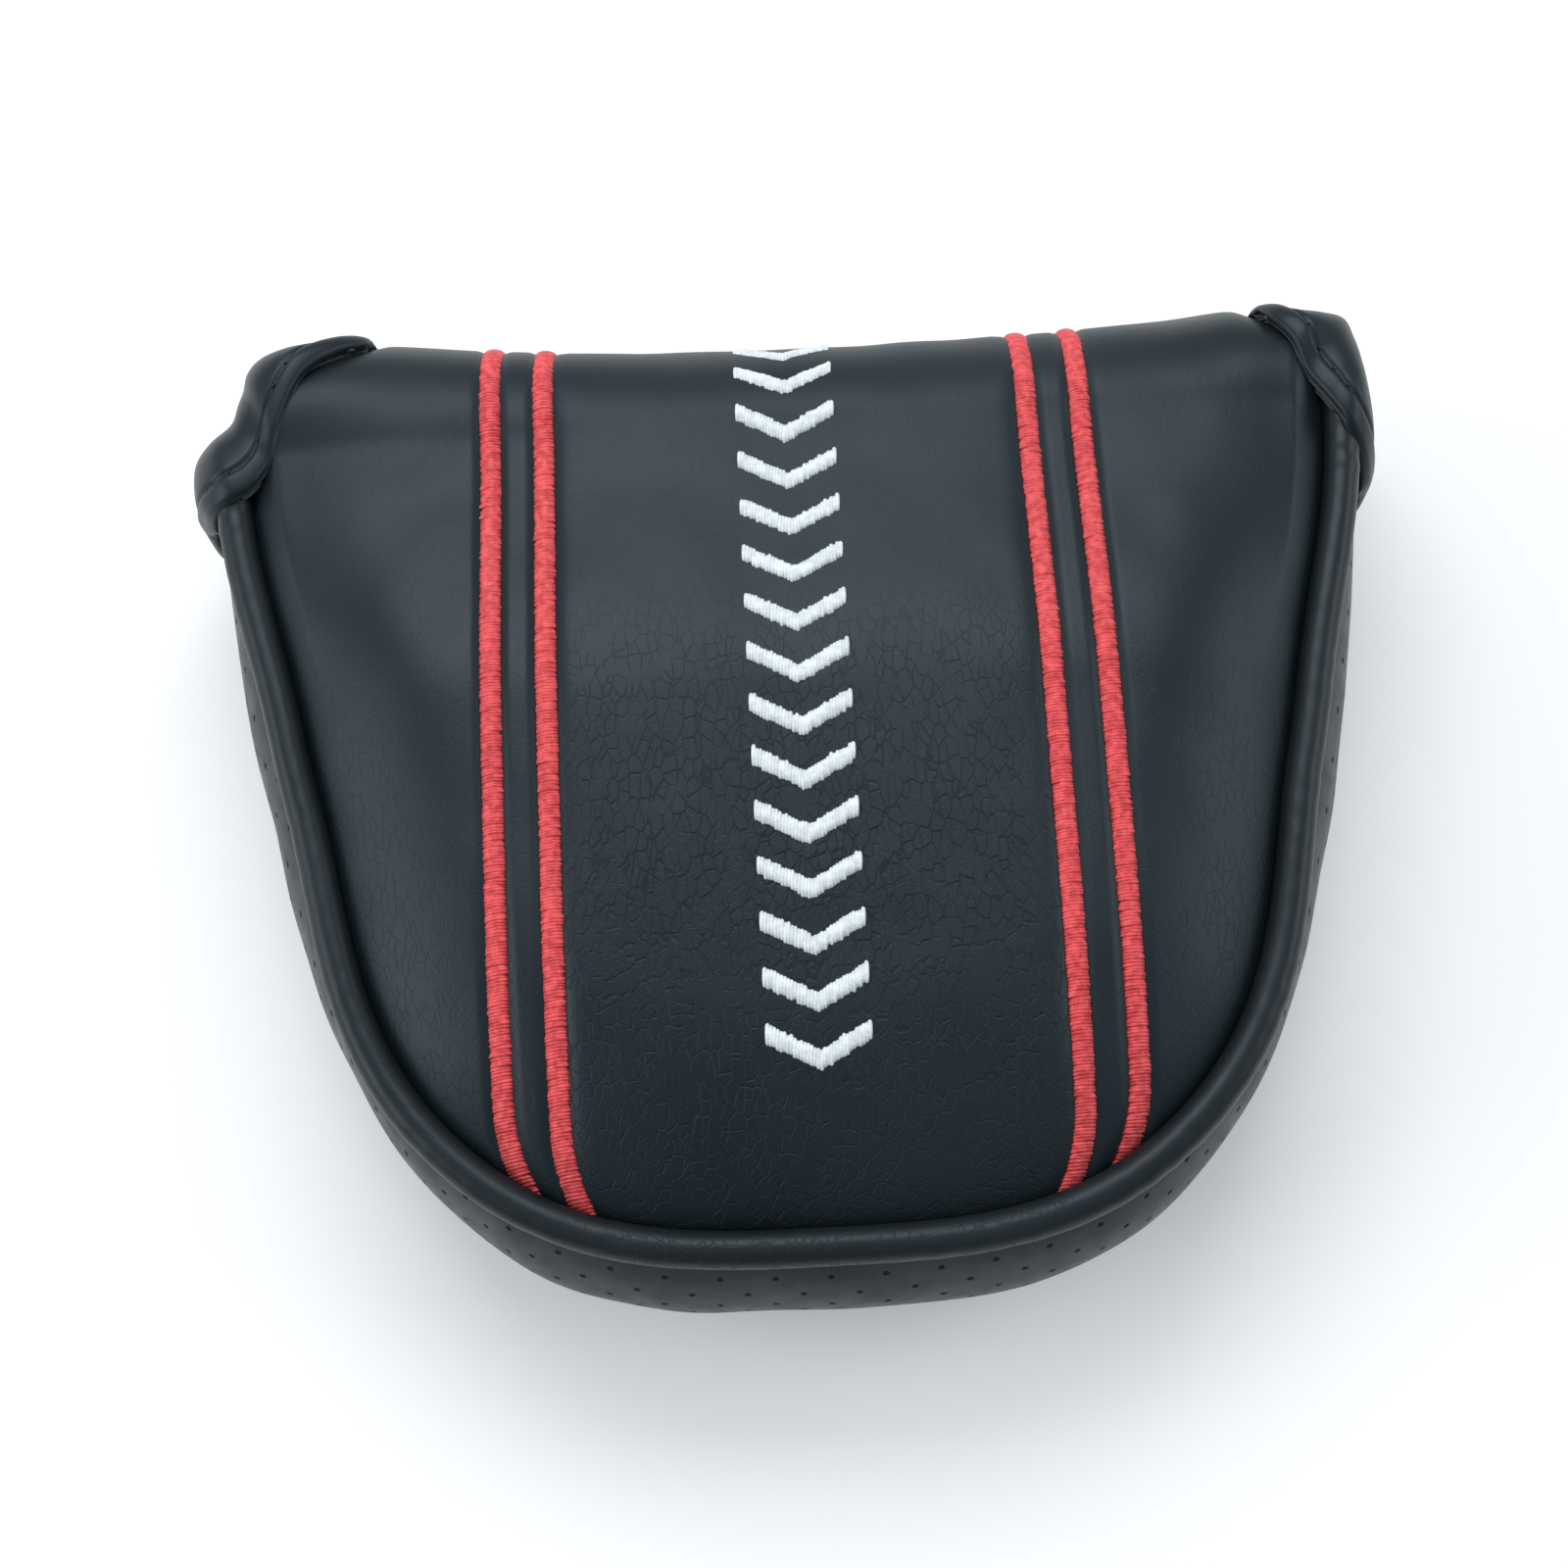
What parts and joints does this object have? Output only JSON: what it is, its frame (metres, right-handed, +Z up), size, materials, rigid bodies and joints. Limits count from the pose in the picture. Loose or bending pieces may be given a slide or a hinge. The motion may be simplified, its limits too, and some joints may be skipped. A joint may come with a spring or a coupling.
{
  "type": "putter head cover",
  "caption": "Padded D-shaped pouch for a mallet putter head, with piped seams, a perforated gusset, corner hoods and a strap that folds round the mouth and closes on the back with magnets.",
  "frame": {"origin": "centre of the bounding box on the surface the cover lies on, below the middle of the pouch", "axes": "+X across the mouth, +Y out of the mouth, +Z up through the front panel; the cover lies on its back with the strap closed"},
  "size_m": [0.1266, 0.105, 0.0362],
  "materials": {
    "panel_leather": "black synthetic leather, soft sheen, fine creased grain",
    "piping_leather": "black synthetic leather pulled tight over a cord",
    "perforated_leather": "black synthetic leather with rows of small perforations",
    "fleece_lining": "short-pile fleece",
    "foam": "open-cell padding",
    "piping_cord": "twisted cotton cord",
    "magnet": "nickel-plated disc",
    "red_thread": "glossy satin stitch",
    "white_thread": "glossy satin stitch"
  },
  "bodies": {
    "pouch": {"front_panel": "panel_leather", "front_foam": "foam", "front_lining": "fleece_lining", "front_piping": "piping_leather", "front_piping_cord": "piping_cord", "gusset": "perforated_leather", "gusset_lining": "fleece_lining", "back_piping": "piping_leather", "back_piping_cord": "piping_cord", "back_panel": "panel_leather", "back_foam": "foam", "back_lining": "fleece_lining", "back_magnets": "magnet", "left_hood": "panel_leather", "right_hood": "panel_leather", "left_hood_lining": "fleece_lining", "right_hood_lining": "fleece_lining", "stripe_left_outer": "red_thread", "stripe_left_inner": "red_thread", "stripe_right_inner": "red_thread", "stripe_right_outer": "red_thread", "front_motif": "white_thread"},
    "bridge": {"bridge_panel": "panel_leather", "bridge_pad": "foam", "bridge_lining": "fleece_lining", "bridge_stripes": "red_thread", "bridge_motif": "white_thread"},
    "tongue": {"tongue_panel": "panel_leather", "tongue_pad": "foam", "tongue_magnets": "magnet", "tongue_lining": "fleece_lining", "tongue_stripes": "red_thread"}
  },
  "joints": [
    {"name": "bridge_fold", "type": "hinge", "parent": "pouch", "child": "bridge", "pos_m": [0, 0.04798, 0.02748], "axis": [1, 0, 0], "range_deg": [0, 90]},
    {"name": "tongue_fold", "type": "hinge", "parent": "bridge", "child": "tongue", "pos_m": [0, 0.04798, 0.00351], "axis": [1, 0, 0], "range_deg": [0, 90]}
  ]
}
